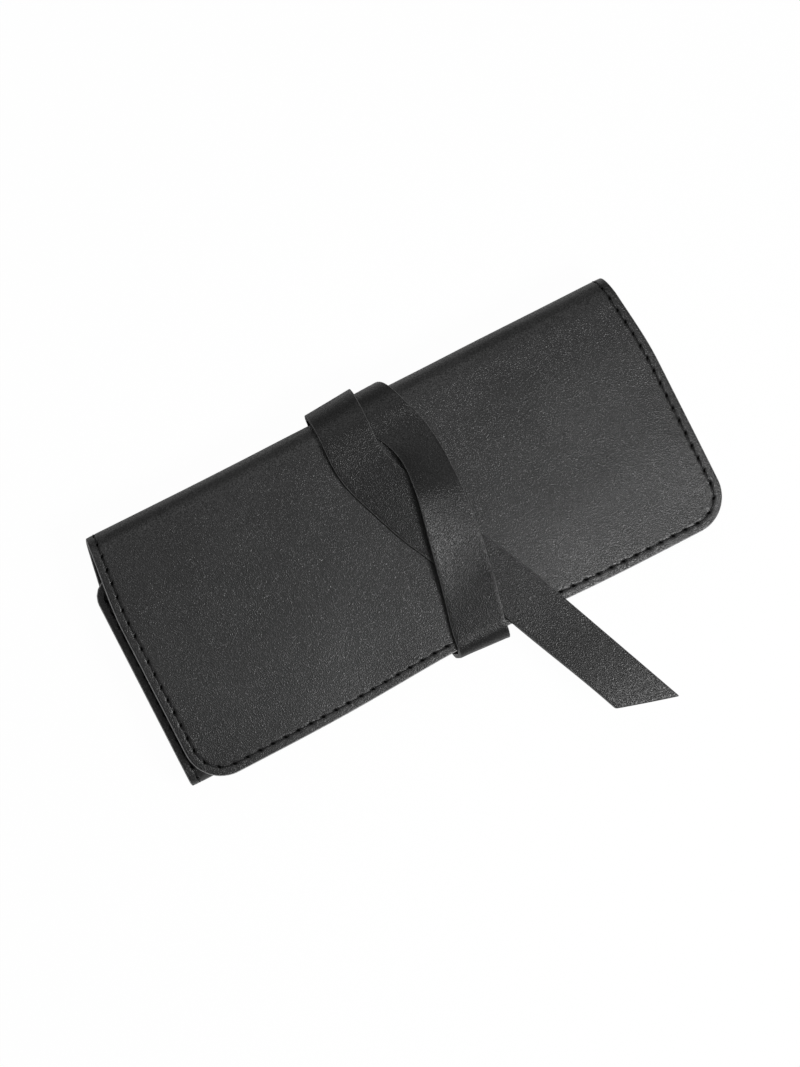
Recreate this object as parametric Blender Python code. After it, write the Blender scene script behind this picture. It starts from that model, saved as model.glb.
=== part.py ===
"""Cable organizer roll: a lined leather tri-fold sheet, held shut by a strap that is wound twice round it.

Metres. +X runs along the roll, +Y towards the back fold and +Z up. The strap's lowest run rests on Z = 0,
and the origin lies under the middle of the case. The sheet is folded inner panel, front fold, base, back
fold, flap. The strap starts under the base, goes over the flap, under the base again, over the flap a
second time, and ends in a tail that is tucked under its own first turn.
"""

import math

import bmesh
import bpy
from mathutils import Vector

# The closed case
case_length = 0.200
case_width = 0.0914
case_height = 0.0193
flap_fall = 0.0018
front_fold_height = 0.0124
back_fold_radius = 0.0080
flap_overhang = 0.0024
flap_corner_radius = 0.0130
inner_panel_reach = 0.0743
inner_corner_radius = 0.0070
panel_shift = 0.0030
fold_draw_in = 0.0031
fold_draw_reach = 0.0400
waist_in = 0.0022
waist_in_reach = 0.0350
waist_dip = 0.0008
waist_reach = 0.0500

# The layers of the sheet and what is sewn inside it
leather_thickness = 0.0012
lining_thickness = 0.0008
seat_gap = 0.0003
pocket_thickness = 0.0010
pocket_depth = 0.0340
pocket_margin = 0.0030
pocket_notch_depth = 0.0080
pocket_notch_reach = 0.0140
band_thickness = 0.0009
band_width = 0.0220
band_margin = 0.0120
band_place = 0.0150
band_bulge = 0.0014
band_loops = 9

# The strap
strap_width = 0.0182
strap_thickness = 0.0016
strap_anchor_reach = 0.0570
strap_edge_radius = 0.0030
strap_edge_standoff = 0.0006
strap_front_lean = 0.0017
strap_front_radius = 0.0050
tail_reach = 0.0360
tail_slant = 0.0132
tail_narrowing = 0.0008
first_curl_in = 0.0040
second_curl_in = 0.0021
curl_rise = 0.0014
curl_reach = 0.0220

# Where the strap's middle runs: shares of the run over the flap, from back to front, and of the strap's width
first_under_shares = ((0.0, 0.26), (0.9, 0.13))
wrap_route_shares = ((-0.20, 0.11), (-0.148, 0.17), (-0.08, 0.308), (0.0, 0.45), (0.09, 0.604), (0.20, 0.687),
                     (0.32, 0.684), (0.45, 0.657), (0.61, 0.577), (0.80, 0.434), (0.98, 0.264))
second_under_shares = ((0.0, 0.198), (0.5, 0.0), (1.0, -0.22))
tuck_route_shares = ((0.0, -0.27), (0.09, -0.28), (0.165, -0.24), (0.285, -0.055), (0.43, 0.20), (0.555, 0.47),
                     (0.75, 0.90), (0.945, 1.30), (1.50, 2.36))

# How far its left and right edges stand off the case there, as shares of one strap's step
wrap_wall_shares = (0.20, 0.50)
tuck_wall_shares = (0.90, 1.55)
wrap_lift_shares = ((0.0, 0.10, 0.20), (0.08, 0.10, 0.10), (0.18, 1.00, 0.20), (0.28, 1.80, 0.80),
                    (0.37, 2.15, 1.20), (0.50, 1.80, 1.20), (0.70, 1.35, 1.15), (1.0, 1.00, 1.10))
tuck_lift_shares = ((0.0, 0.80, 1.40), (0.06, 0.65, 1.25), (0.20, 0.15, 0.10), (0.30, 0.0, 0.0),
                    (1.0, 0.0, 0.0))
crossing_shares = (0.065, 0.20)
curl_shares = (0.212, 0.06)
tail_hinge_share = 0.958
inner_opening = math.radians(54)

# How finely the curved pieces are divided
length_steps = 16
fold_steps = 5
corner_steps = 4
strap_columns = 6
loop_steps = 6

panel_thickness = leather_thickness + seat_gap + lining_thickness
strap_step = strap_thickness + seat_gap
base_level = 2 * strap_step
back_y = case_width / 2
front_y = -back_y
fold_y = front_y + flap_overhang
front_fold_radius = front_fold_height / 2


def smooth(t):
    """0 below 0, 1 above 1, and an even rise between them."""
    t = min(max(t, 0.0), 1.0)
    return t * t * (3 - 2 * t)


def mix(a, b, t):
    return a + (b - a) * t


def steps(a, b, count):
    return [mix(a, b, i / count) for i in range(count + 1)]


def between(a, b, count):
    """Even places from a to b, with half a gap left out at both ends."""
    return steps(a + seat_gap / 2, b - seat_gap / 2, count)


class Path:
    """Straight runs joined by arcs in the Y-Z plane, all turning the same way, measured by their length."""

    def __init__(self, corners, radii):
        corners = [Vector(c) for c in corners]
        self.runs = []
        self.bends = []
        self.length = 0.0
        place = corners[0]
        for before, corner, after, radius in zip(corners, corners[1:], corners[2:], radii):
            heading = (corner - before).normalized()
            turn = math.acos(heading.dot((after - corner).normalized()))
            cut = radius * math.tan(turn / 2)
            self.add(place, heading, 0.0, (corner - heading * cut - place).length)
            start = self.length
            self.add(corner - heading * cut, heading, radius, radius * turn)
            self.bends.append((start, self.length))
            place = corner + (after - corner).normalized() * cut
        self.add(place, (corners[-1] - place).normalized(), 0.0, (corners[-1] - place).length)

    def add(self, place, heading, radius, length):
        self.runs.append((self.length, place, heading, radius))
        self.length += length

    def at(self, s):
        """The point at this length and the outward normal there; the two end runs go on straight."""
        start, place, heading, radius = self.runs[0]
        for run in self.runs:
            if s >= run[0]:
                start, place, heading, radius = run
        outward = Vector((heading.y, -heading.x))
        if not radius:
            return place + heading * (s - start), outward
        turn = (s - start) / radius
        turned = Vector((outward.x * math.cos(turn) - outward.y * math.sin(turn),
                         outward.x * math.sin(turn) + outward.y * math.cos(turn)))
        return place - outward * radius + turned * radius, turned


flap_front_level = base_level + case_height - flap_fall
back_bottom = (back_y, base_level)
back_top = (back_y, base_level + case_height)
flap_front = (front_y, flap_front_level)

sheet = Path(
    [(fold_y + inner_panel_reach, base_level + front_fold_height), (fold_y, base_level + front_fold_height),
     (fold_y, base_level), back_bottom, back_top, flap_front],
    [front_fold_radius, front_fold_radius, back_fold_radius, back_fold_radius])
front_fold_start = sheet.bends[0][0]
front_fold_end = sheet.bends[1][1]
lower_bend, upper_bend = sheet.bends[2:]

top_heading = (Vector(flap_front) - Vector(back_top)).normalized()
strap_front_top = Vector(flap_front) + top_heading * strap_edge_standoff
strap_front_bottom = (front_y + strap_front_lean, base_level)
strap_path = Path(
    [(back_y - strap_anchor_reach - back_fold_radius, base_level), back_bottom, back_top,
     strap_front_top, strap_front_bottom, back_bottom, back_top,
     strap_front_top + top_heading * tail_reach],
    [back_fold_radius, back_fold_radius, strap_edge_radius, strap_front_radius, back_fold_radius,
     back_fold_radius])
first_lower, first_upper, front_edge, front_foot, second_lower, second_upper = strap_path.bends
over_run = (front_edge[0] + front_edge[1]) / 2 - first_upper[1]


def waisted(x, point):
    """The front is drawn in where the strap is pulled tight round it, and the top dips a little."""
    drawn = waist_in * math.exp(-((x / waist_in_reach) ** 2)) * smooth(point.x / front_y)
    dip = waist_dip * math.exp(-((x / waist_reach) ** 2))
    level = max(point.y - base_level, 0.0) / case_height
    return Vector((x, point.x + drawn, point.y - dip * level))


def on_path(path, s, x, depth):
    """The point at length s and place x, this far inside the path."""
    point, outward = path.at(s)
    return waisted(x, point - outward * depth)


def clear_scene():
    for item in list(bpy.data.objects):
        bpy.data.objects.remove(item, do_unlink=True)


def material(name, colour, roughness):
    made = bpy.data.materials.new(name)
    made.use_nodes = True
    shader = made.node_tree.nodes["Principled BSDF"]
    shader.inputs["Base Color"].default_value = (*colour, 1.0)
    shader.inputs["Roughness"].default_value = roughness
    made.diffuse_color = (*colour, 1.0)
    return made


def axis_empty(name, place, parent=None):
    """An empty on a joint's axis, which carries the pieces that turn about it."""
    made = bpy.data.objects.new(name, None)
    bpy.context.collection.objects.link(made)
    made.location = Vector(place) - (Vector(parent["place"]) if parent else Vector())
    made.parent = parent
    made["place"] = tuple(place)
    return made


def slab(name, outer, inner, finish, axis=None):
    """A closed solid between two grids of points with the same rows and columns."""
    origin = Vector(axis["place"]) if axis else Vector()
    body = bmesh.new()
    grids = [[[body.verts.new(p - origin) for p in row] for row in grid] for grid in (outer, inner)]
    rows, columns = len(outer), len(outer[0])
    for grid in grids:
        for i in range(rows - 1):
            for j in range(columns - 1):
                body.faces.new((grid[i][j], grid[i][j + 1], grid[i + 1][j + 1], grid[i + 1][j]))
    rim = [(0, j) for j in range(columns)] + [(i, columns - 1) for i in range(1, rows)]
    rim += [(rows - 1, j) for j in range(columns - 2, -1, -1)] + [(i, 0) for i in range(rows - 2, 0, -1)]
    for (i, j), (k, m) in zip(rim, rim[1:] + rim[:1]):
        body.faces.new((grids[0][i][j], grids[0][k][m], grids[1][k][m], grids[1][i][j]))
    bmesh.ops.recalc_face_normals(body, faces=body.faces)
    mesh = bpy.data.meshes.new(name)
    body.to_mesh(mesh)
    body.free()
    mesh.shade_smooth()
    mesh.set_sharp_from_angle(angle=math.radians(40))
    made = bpy.data.objects.new(name, mesh)
    made.data.materials.append(finish)
    bpy.context.collection.objects.link(made)
    made.parent = axis
    return made


def half_length(s):
    """Half the sheet's length at s: drawn in at the back fold, and rounded at both free ends."""
    fold_middle = (lower_bend[0] + upper_bend[1]) / 2
    drawn = 1 - smooth(abs(s - fold_middle) / fold_draw_reach)
    half = case_length / 2 - fold_draw_in * drawn
    for room, radius in ((s, inner_corner_radius), (sheet.length - s, flap_corner_radius)):
        short = radius - min(max(room, 0.0), radius)
        half -= radius - math.sqrt(radius ** 2 - short ** 2)
    return half


def sheet_shift(s):
    """The panels under the flap stand out at its left end; the back fold takes up the difference."""
    return -panel_shift * (1 - smooth((s - lower_bend[0]) / (upper_bend[1] - lower_bend[0])))


def sheet_piece(name, places, depth, thickness, finish, axis=None, columns=length_steps):
    """A stretch of one layer of the sheet, between two depths inside its outer face."""
    def grid(inside):
        return [[on_path(sheet, s, sheet_shift(s) + half_length(s) * u, inside) for u in steps(-1, 1, columns)]
                for s in places]
    return slab(name, grid(depth), grid(depth + thickness), finish, axis)


def rounded_places(end, radius, inward):
    """Places along a rounded corner, from the free edge to where the side becomes straight."""
    angles = steps(0, math.pi / 2, corner_steps)
    return [end + inward * radius * (1 - math.cos(a)) for a in angles]


def build_sheet(leather, lining, fold_axis, flap_axis, inner_axis):
    """The sheet's two layers, divided where the folds begin and end."""
    flap_rounded = rounded_places(sheet.length, flap_corner_radius, -1)
    inner_rounded = rounded_places(0.0, inner_corner_radius, 1)
    flap_places = between(upper_bend[1], flap_rounded[-1], 4)[:-1] + flap_rounded[::-1]
    inner_places = inner_rounded + between(inner_rounded[-1], front_fold_start, 2)[1:]
    stretches = (
        ("inner_panel", inner_places, inner_axis),
        ("front_fold", between(front_fold_start, front_fold_end, 2 * fold_steps), None),
        ("base", between(front_fold_end, lower_bend[0], 3), None),
        ("back_lower_bend", between(*lower_bend, fold_steps), fold_axis),
        ("back_wall", between(lower_bend[1], upper_bend[0], 1), fold_axis),
        ("back_upper_bend", between(*upper_bend, fold_steps), fold_axis),
        ("flap", flap_places, flap_axis),
    )
    for name, places, axis in stretches:
        sheet_piece(name + "_leather", places, 0.0, leather_thickness, leather, axis)
        sheet_piece(name + "_lining", places, leather_thickness + seat_gap, lining_thickness, lining, axis)


def build_pocket(finish, axis):
    """The pocket on the lined side of the inner panel, open towards its free edge, with a thumb notch."""
    closed_end = front_fold_start - pocket_margin
    mouth = closed_end - pocket_depth
    half = case_length / 2 - pocket_margin

    def grid(inside):
        rows = []
        for t in steps(0, 1, 3):
            row = []
            for u in steps(-1, 1, 2 * length_steps):
                x = half * u
                notch = pocket_notch_depth * math.exp(-((x / pocket_notch_reach) ** 2))
                s = mix(mouth + notch, closed_end, t)
                row.append(on_path(sheet, s, x - panel_shift, inside))
            rows.append(row)
        return rows
    inside = panel_thickness + seat_gap
    slab("pocket_panel", grid(inside), grid(inside + pocket_thickness), finish, axis)


def build_cable_band(finish):
    """The elastic band on the base's lining, sewn down between its loops."""
    half = case_length / 2 - band_margin
    floor = base_level + panel_thickness + seat_gap
    count = band_loops * loop_steps

    def grid(over):
        rows = []
        for y in (band_place - band_width / 2, band_place + band_width / 2):
            row = []
            for i, x in enumerate(steps(-half, half, count)):
                bulge = band_bulge * math.sin(math.pi * i / loop_steps) ** 2
                row.append(Vector((x - panel_shift, y, floor + over + bulge)))
            rows.append(row)
        return rows
    slab("cable_band", grid(band_thickness), grid(0.0), finish)


def curve_through(points):
    """A smooth curve x(s) through points in order of s, with the slopes of their neighbours."""
    def slope(i):
        a, b = points[max(i - 1, 0)], points[min(i + 1, len(points) - 1)]
        return (b[1] - a[1]) / (b[0] - a[0])

    def curve(s):
        i = 0
        while i < len(points) - 2 and s > points[i + 1][0]:
            i += 1
        (a, x), (b, y) = points[i], points[i + 1]
        t = (s - a) / (b - a)
        if t < 0:
            return x + slope(0) * (s - a)
        if t > 1:
            return y + slope(len(points) - 1) * (s - b)
        rise = (b - a) * (slope(i) * t * (1 - t) ** 2 - slope(i + 1) * t * t * (1 - t))
        return x + (y - x) * smooth(t) + rise
    return curve


def strap_route():
    """The middle of the strap over its whole length: place along the path, place along the roll."""
    points = []
    for start, run, shares in (
            (0.0, first_lower[0], first_under_shares),
            (first_upper[1], over_run, wrap_route_shares),
            (front_foot[1], second_lower[0] - front_foot[1], second_under_shares),
            (second_upper[1], over_run, tuck_route_shares)):
        points += [(start + run * along, strap_width * across) for along, across in shares]
    return curve_through(points)


middle = strap_route()
tail_hinge = second_upper[1] + over_run * tail_hinge_share


def middle_slope(s):
    return (middle(s + seat_gap) - middle(s - seat_gap)) / (2 * seat_gap)


def crossed(s):
    """How far a place on the run over the flap lies past the crossing: 0 behind it, 1 in front."""
    behind, before = crossing_shares
    share = (s - first_upper[1]) / over_run
    return smooth((share - behind) / (before - behind))


def strap_lifts():
    """How far the left and right edges stand off the case over the strap's length, in steps of one strap."""
    points = [(0.0, 0.0, 0.0), (first_lower[0], 0.0, 0.0), (first_lower[1], 0.0, 0.0),
              (first_upper[0], *wrap_wall_shares)]
    points += [(first_upper[1] + over_run * along, *sides) for along, *sides in wrap_lift_shares]
    points += [(s, 1.0, 1.0) for s in (*front_foot, *second_lower)]
    points += [(second_upper[0], *tuck_wall_shares)]
    points += [(second_upper[1] + over_run * along, *sides) for along, *sides in tuck_lift_shares]
    return [curve_through([(point[0], point[side]) for point in points]) for side in (1, 2)]


left_lift, right_lift = strap_lifts()


def lift(s, v):
    """How many steps of one strap a place v across the strap stands off the case."""
    return mix(left_lift(s), right_lift(s), v / strap_width + 0.5)


def curl(s, v):
    """How much both turns are drawn in about the crossing, the first at its left side, the second at its right."""
    first, second = (over_run * share for share in curl_shares)
    first_near = math.exp(-(((s - first_upper[1] - first) / curl_reach) ** 2))
    second_near = math.exp(-(((s - second_upper[1] - second) / curl_reach) ** 2))
    return first_near * (0.5 - v / strap_width) ** 2, second_near * (0.5 + v / strap_width) ** 2


def strap_point(s, v, thick, slant=0.0):
    """A point of the strap: v across it from the middle, thick above its inner face."""
    slope = middle_slope(s)
    lean = math.hypot(1, slope)
    first, second = curl(s, v)
    narrowed = tail_narrowing * (0.5 - v / strap_width) * smooth((s - tail_hinge) / tail_reach)
    across = v + first_curl_in * first - second_curl_in * second + narrowed
    along = s - across * slope / lean + slant / lean
    x = middle(s) + across / lean + slant * slope / lean
    height = seat_gap + strap_step * lift(along, v) + curl_rise * first * crossed(s) + thick
    return on_path(strap_path, along, x, -height)


def strap_piece(name, places, finish, axis=None, columns=strap_columns, slant=0.0):
    """A stretch of the strap through places on its route; slant lengthens its right edge at the end."""
    def grid(thick):
        made = []
        for i, s in enumerate(places):
            row = []
            for v in steps(-strap_width / 2, strap_width / 2, columns):
                longer = slant * (v / strap_width + 0.5) * i / (len(places) - 1)
                row.append(strap_point(s, v, thick, longer))
            made.append(row)
        return made
    return slab(name, grid(strap_thickness), grid(0.0), finish, axis)


def build_strap(leather, fold_axis, flap_axis, tail_axis):
    """The strap, divided where it leaves one moving panel for the next."""
    foot = (front_edge[1] + front_foot[0]) / 2
    drop = between(*front_edge, fold_steps) + between(front_edge[1], foot, 3)[1:]
    stand = between(foot, front_foot[0], 3)[:-1] + between(*front_foot, fold_steps)
    first_turn = between(first_lower[0], first_upper[1], 3 * fold_steps)
    second_turn = between(second_lower[0], second_upper[1], 3 * fold_steps)
    strap_piece("strap_anchor_run", between(0.0, first_lower[0], 2), leather, columns=3)
    strap_piece("strap_first_back_turn", first_turn, leather, fold_axis)
    strap_piece("strap_over_wrap", between(first_upper[1], front_edge[0], 28), leather, flap_axis, columns=9)
    strap_piece("strap_front_drop", drop, leather, flap_axis)
    strap_piece("strap_front_return", stand, leather)
    strap_piece("strap_under_run", between(front_foot[1], second_lower[0], 3), leather, columns=3)
    strap_piece("strap_second_back_turn", second_turn, leather, fold_axis)
    strap_piece("strap_tuck_run", between(second_upper[1], tail_hinge, 24), leather, flap_axis, columns=8)
    strap_piece("strap_tail", between(tail_hinge, strap_path.length, 5), leather, tail_axis, columns=4,
                slant=tail_slant)


def bend_axis(bend):
    """The line about which a panel turns as a quarter-round bend of the sheet opens flat."""
    start, outward = sheet.at(bend[0])
    middle_radius = back_fold_radius - panel_thickness / 2
    arc = (bend[1] - bend[0]) / back_fold_radius * middle_radius
    start = start - outward * (panel_thickness / 2)
    heading = Vector((-outward.y, outward.x))
    inward = middle_radius - arc / 2
    place = start + heading * (arc / 2) - outward * inward
    return Vector((0.0, place.x, place.y))


def front_fold_axis():
    """The line about which the inner panel turns while the front fold opens by inner_opening."""
    radius = front_fold_radius - panel_thickness / 2
    opened = math.pi * radius / (math.pi - inner_opening)
    rise = opened * (1 + math.cos(inner_opening)) - 2 * radius
    back = opened * math.sin(inner_opening) / 2 + rise / math.tan(inner_opening / 2) / 2
    return Vector((0.0, fold_y + front_fold_radius - back, base_level + front_fold_radius))


def main():
    clear_scene()
    leather = material("black_leather", (0.040, 0.040, 0.041), 0.48)
    lining = material("lining_suede", (0.030, 0.030, 0.032), 0.90)
    elastic = material("elastic_band", (0.018, 0.018, 0.020), 0.75)

    fold_axis = axis_empty("back_fold_axis", bend_axis(lower_bend))
    flap_axis = axis_empty("flap_axis", bend_axis(upper_bend), fold_axis)
    inner_axis = axis_empty("inner_panel_axis", front_fold_axis())
    tail_axis = axis_empty("strap_tail_axis", strap_point(tail_hinge, 0.0, strap_thickness), flap_axis)

    build_sheet(leather, lining, fold_axis, flap_axis, inner_axis)
    build_pocket(leather, inner_axis)
    build_cable_band(elastic)
    build_strap(leather, fold_axis, flap_axis, tail_axis)


main()
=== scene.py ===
"""The looks of the cable organizer roll: black leather, black thread, closed and tied with its own strap.

Metres, in the solids' frame: +X along the roll, +Y towards the back fold, +Z up, with Z = 0 on the floor.
"""

import math

import bmesh
import bpy
from mathutils import Matrix, Vector, noise


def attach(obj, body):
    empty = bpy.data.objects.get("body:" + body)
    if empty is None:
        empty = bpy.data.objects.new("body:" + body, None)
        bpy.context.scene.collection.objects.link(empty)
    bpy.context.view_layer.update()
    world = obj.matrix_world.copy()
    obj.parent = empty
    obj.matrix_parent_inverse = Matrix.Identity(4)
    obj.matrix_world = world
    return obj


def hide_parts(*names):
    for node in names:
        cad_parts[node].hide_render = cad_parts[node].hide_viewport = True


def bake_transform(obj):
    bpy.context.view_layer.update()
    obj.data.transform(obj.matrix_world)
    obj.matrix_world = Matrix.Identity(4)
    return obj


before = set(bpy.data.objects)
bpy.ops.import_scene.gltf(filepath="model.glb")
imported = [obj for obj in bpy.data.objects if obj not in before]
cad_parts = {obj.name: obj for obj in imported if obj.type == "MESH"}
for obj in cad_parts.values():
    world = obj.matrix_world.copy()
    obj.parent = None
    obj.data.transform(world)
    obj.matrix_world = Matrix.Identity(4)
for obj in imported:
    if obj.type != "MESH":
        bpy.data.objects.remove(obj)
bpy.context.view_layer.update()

# The closed case, as its solids have it
case_length = 0.200
case_width = 0.0914
case_height = 0.0193
flap_fall = 0.0018
front_fold_height = 0.0124
back_fold_radius = 0.0080
flap_overhang = 0.0024
flap_corner_radius = 0.0130
inner_panel_reach = 0.0743
inner_corner_radius = 0.0070
panel_shift = 0.0030
shift_reach = 0.0450
fold_draw_in = 0.0031
fold_draw_reach = 0.0400
waist_in = 0.0022
waist_in_reach = 0.0350
waist_dip = 0.0008
waist_reach = 0.0500

# The layers of the sheet and what is sewn inside it
leather_thickness = 0.0012
lining_thickness = 0.0008
seat_gap = 0.0003
pocket_thickness = 0.0010
pocket_depth = 0.0340
pocket_margin = 0.0030
pocket_notch_depth = 0.0080
pocket_notch_reach = 0.0140
band_thickness = 0.0009
band_width = 0.0220
band_margin = 0.0120
band_place = 0.0150
band_bulge = 0.0014
band_loops = 9

# The strap
strap_width = 0.0182
strap_thickness = 0.0016
strap_anchor_reach = 0.0570
strap_edge_radius = 0.0030
strap_edge_standoff = 0.0006
strap_front_lean = 0.0017
strap_front_radius = 0.0050
tail_reach = 0.0360
tail_slant = 0.0132
tail_narrowing = 0.0008
tail_rise = 0.0016
first_curl_in = 0.0035
second_curl_in = 0.0008
curl_rise = 0.0014
curl_reach = 0.0220

# Where the strap's middle runs, turn by turn: shares of each run's length, and of the strap's width across
first_under_shares = ((0.0, 0.26), (0.9, 0.13))
wrap_route_shares = (
    (-0.20, 0.11), (-0.148, 0.17), (-0.08, 0.308), (0.0, 0.45), (0.09, 0.604), (0.20, 0.687),
    (0.32, 0.684), (0.45, 0.657), (0.61, 0.577), (0.80, 0.434), (0.98, 0.264))
second_under_shares = ((0.0, 0.198), (0.5, 0.0), (1.0, -0.22))
tuck_route_shares = (
    (0.0, -0.27), (0.09, -0.28), (0.165, -0.24), (0.285, -0.055), (0.43, 0.20),
    (0.555, 0.47), (0.75, 0.90), (0.945, 1.30), (1.50, 2.36))

# How far its edges stand off the case: on the back wall the left and the right edge, in steps of one strap,
# and over the flap the share of the run that goes before them
wrap_wall_shares = (0.20, 0.50)
tuck_wall_shares = (0.90, 1.55)
wrap_lift_shares = (
    (0.0, 0.10, 0.20), (0.08, 0.10, 0.10), (0.18, 1.00, 0.35), (0.28, 1.85, 1.15),
    (0.36, 2.40, 2.00), (0.44, 2.38, 2.04), (0.54, 2.05, 1.80), (0.64, 1.50, 1.48),
    (0.74, 0.95, 1.32), (0.80, 0.60, 1.40), (0.85, 0.45, 1.32), (0.90, 0.35, 1.20),
    (1.0, 0.30, 0.95))
tuck_lift_shares = (
    (0.0, 0.80, 1.40), (0.08, 0.55, 1.10), (0.15, 0.22, 0.92), (0.22, 0.06, 0.92),
    (0.30, 0.0, 0.95), (0.38, 0.0, 0.75), (0.48, 0.0, 0.42), (0.60, 0.0, 0.15),
    (0.75, 0.0, 0.0), (1.0, 0.0, 0.0))

# Shares of the run over the flap: the crossing, the middle of each turn's curl, the tail's hinge, and a split
crossing_shares = (0.065, 0.20)
curl_shares = (0.212, 0.06)
tail_hinge_share = 0.958
tuck_split_share = 0.61

# The strap's section, with its steps across, and down its side insets, levels and marks for the cut edge and
# its painted arris highlight
strap_sink = 0.0002
strap_top_margin = 0.0005
strap_low_margin = 0.0003
strap_top_steps = 14
strap_low_steps = 6
strap_upper_wall = ((0.00036, 0.00003, 2), (0.00022, 0.00013, 3), (0.00012, 0.00045, 1))
strap_lower_wall = ((0.0, 0.00030, 1), (0.00010, 0.00010, 0))
strap_spacing = 0.0011
slope_probe = 0.0003
cut_end_stops = ((0.00040, 0.0), (0.00015, 0.00008), (0.0, 0.00030))

# The leather where it isn't held flat by the strap: a slow wave, a rounder back and a drooping front
held_middle = 0.0050
held_half = 0.0200
held_fade = 0.0250
wave_height = 0.00028
wave_counts = (26, 30)
wave_seed = 1.7
back_round_in = 0.0003
back_round_reach = 0.0180
droop = 0.0007
droop_reach = 0.0350

# The seam: black thread through a line of holes inside the cut edge
stitch_inset = 0.0030
stitch_pitch = 0.00475
stitch_steps = 6
stitch_shares = (0.0, 0.11, 0.30, 0.50, 0.70, 0.89)
hole_depth = 0.00080
hole_width = 0.00038
hole_slant = 0.00026
hole_slant_width = 0.0005
hole_reach = 0.00045
beside_hole_share = 0.3
groove_depth = 0.00022
groove_width = 0.00030
edge_fall = 0.00010
thread_radius = 0.00016
thread_slant = 0.00020
thread_shares = (0.0, 0.07, 0.17, 0.32, 0.5, 0.68, 0.83, 0.93, 1.0)
thread_rise = 0.75 * thread_radius
thread_dive = 0.0012
thread_reach = 0.17
thread_arch = 0.00010
normal_probe = 0.001

# The sewn lines of the pocket, the cable band and the strap's end
line_shares = (0.0, 0.1, 0.3, 0.5, 0.7, 0.9, 1.0)
line_span = (0.06, 0.94)
line_radius = 0.9 * thread_radius
line_rise = 0.7 * thread_radius
line_dive = 0.0003
line_reach = 0.2
pocket_stitch = 0.0036
pocket_seam_inset = 0.0022
pocket_seam_start = 0.0012
band_stitch = 0.0024
band_seam_margin = 0.0012
band_seam_inset = 0.0016
band_seam_spread = 0.0005
anchor_stitch = 0.0034
anchor_box_inset = 0.0026
anchor_box_reach = (0.0028, 0.0168)

# The small clearances under a layer that is sewn on, the rounding of its edges, and its steps each way
lining_gap = 0.00008
sewn_gap = 0.00005
pocket_rounding = 0.0004
pocket_counts = (76, 14)
band_rounding = 0.0003
band_counts = (band_loops * 14, 10)
eased_shares = (0.15, 0.45)

# Floor, light and camera
floor_half = 3.0
floor_value = 0.9
floor_glow = 0.98
world_levels = (
    ("Is Camera Ray", 1.0), ("Is Transmission Ray", 1.0), ("Is Glossy Ray", 0.32), ("Is Diffuse Ray", 0.12))
camera_lens = 90.97
camera_sensor = 36.0
camera_place = (-0.09094, 0.00176, 0.91040)
camera_right = (0.8854, -0.45648, 0.08769)
camera_back = (-0.09746, 0.00215, 0.99524)

# Material slots of a piece: its own finish, its cut edge, and a third one: painted shade in the sheet's
# needle holes, a painted highlight along the strap's arrises
own_slot, edge_slot, third_slot = 0, 1, 2

panel_thickness = leather_thickness + seat_gap + lining_thickness
strap_step = strap_thickness + seat_gap
base_level = 2 * strap_step
back_y = case_width / 2
front_y = -back_y
fold_y = front_y + flap_overhang
front_fold_radius = front_fold_height / 2


def smooth(t):
    t = min(max(t, 0.0), 1.0)
    return t * t * (3 - 2 * t)


def mix(a, b, t):
    return a + (b - a) * t


def steps(a, b, count):
    return [mix(a, b, i / count) for i in range(count + 1)]


class Path:
    """Straight runs joined by arcs in the Y-Z plane, all turning the same way, measured by their length."""

    def __init__(self, corners, radii):
        corners = [Vector(c) for c in corners]
        self.runs = []
        self.bends = []
        self.length = 0.0
        place = corners[0]
        for before, corner, after, radius in zip(corners, corners[1:], corners[2:], radii):
            heading = (corner - before).normalized()
            turn = math.acos(heading.dot((after - corner).normalized()))
            cut = radius * math.tan(turn / 2)
            self.add(place, heading, 0.0, (corner - heading * cut - place).length)
            start = self.length
            self.add(corner - heading * cut, heading, radius, radius * turn)
            self.bends.append((start, self.length))
            place = corner + (after - corner).normalized() * cut
        self.add(place, (corners[-1] - place).normalized(), 0.0, (corners[-1] - place).length)

    def add(self, place, heading, radius, length):
        self.runs.append((self.length, place, heading, radius))
        self.length += length

    def at(self, s):
        """The point at this length and the outward normal there; the two end runs go on straight."""
        start, place, heading, radius = self.runs[0]
        for run in self.runs:
            if s >= run[0]:
                start, place, heading, radius = run
        outward = Vector((heading.y, -heading.x))
        if not radius:
            return place + heading * (s - start), outward
        turn = (s - start) / radius
        turned = Vector((outward.x * math.cos(turn) - outward.y * math.sin(turn),
                         outward.x * math.sin(turn) + outward.y * math.cos(turn)))
        return place - outward * radius + turned * radius, turned


flap_front_level = base_level + case_height - flap_fall
back_bottom = (back_y, base_level)
back_top = (back_y, base_level + case_height)
flap_front = (front_y, flap_front_level)

sheet = Path(
    [(fold_y + inner_panel_reach, base_level + front_fold_height), (fold_y, base_level + front_fold_height),
     (fold_y, base_level), back_bottom, back_top, flap_front],
    [front_fold_radius, front_fold_radius, back_fold_radius, back_fold_radius])
front_fold_start = sheet.bends[0][0]
front_fold_end = sheet.bends[1][1]
lower_bend, upper_bend = sheet.bends[2:]
base_middle = (front_fold_end + lower_bend[0]) / 2
wall_middle = (lower_bend[1] + upper_bend[0]) / 2

top_heading = (Vector(flap_front) - Vector(back_top)).normalized()
strap_front_top = Vector(flap_front) + top_heading * strap_edge_standoff
strap_front_bottom = (front_y + strap_front_lean, base_level)
strap_path = Path(
    [(back_y - strap_anchor_reach - back_fold_radius, base_level), back_bottom, back_top,
     strap_front_top, strap_front_bottom, back_bottom, back_top,
     strap_front_top + top_heading * tail_reach],
    [back_fold_radius, back_fold_radius, strap_edge_radius, strap_front_radius, back_fold_radius,
     back_fold_radius])
first_lower, first_upper, front_edge, front_foot, second_lower, second_upper = strap_path.bends
over_run = (front_edge[0] + front_edge[1]) / 2 - first_upper[1]


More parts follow.
